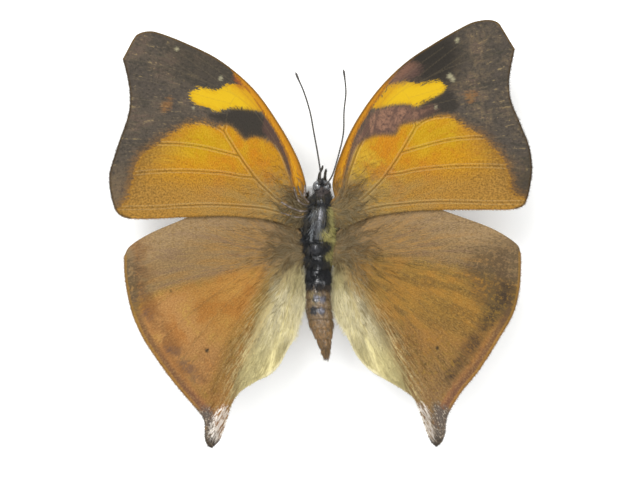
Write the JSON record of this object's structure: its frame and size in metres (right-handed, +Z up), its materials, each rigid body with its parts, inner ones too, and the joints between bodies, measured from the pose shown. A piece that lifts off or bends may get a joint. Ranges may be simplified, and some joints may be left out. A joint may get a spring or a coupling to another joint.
{
  "type": "spread butterfly specimen",
  "caption": "Leaf-shaped orange and brown butterfly, wings spread flat as a museum specimen, held by a rod on a round display base.",
  "frame": {"origin": "centre of the display base's flat underside", "axes": "+Z up, +Y along the body towards the head, +X towards the animal's right wings"},
  "size_m": [0.0634, 0.0643, 0.0166],
  "materials": {
    "thorax": "black, grey-haired",
    "abdomen": "brown, short-haired",
    "eye": "glossy, faceted",
    "palp": "dark, scaled",
    "proboscis": "satin brown",
    "antenna": "satin dark brown",
    "forewing": "scaled, orange, yellow and dark brown",
    "hindwing": "scaled, orange-brown",
    "leg": "satin brown, finely haired",
    "stand_base": "satin white",
    "stand_rod": "brushed"
  },
  "bodies": {
    "root": {"thorax": "thorax", "abdomen": "abdomen", "head": "thorax", "eye_left": "eye", "eye_right": "eye", "palp_left": "palp", "palp_right": "palp", "proboscis": "proboscis", "antenna_left": "antenna", "antenna_right": "antenna", "forewing_left": "forewing", "forewing_right": "forewing", "hindwing_left": "hindwing", "hindwing_right": "hindwing", "foreleg_left": "leg", "foreleg_right": "leg", "midleg_left": "leg", "midleg_right": "leg", "hindleg_left": "leg", "hindleg_right": "leg", "stand_base": "stand_base", "stand_rod": "stand_rod"}
  },
  "joints": []
}
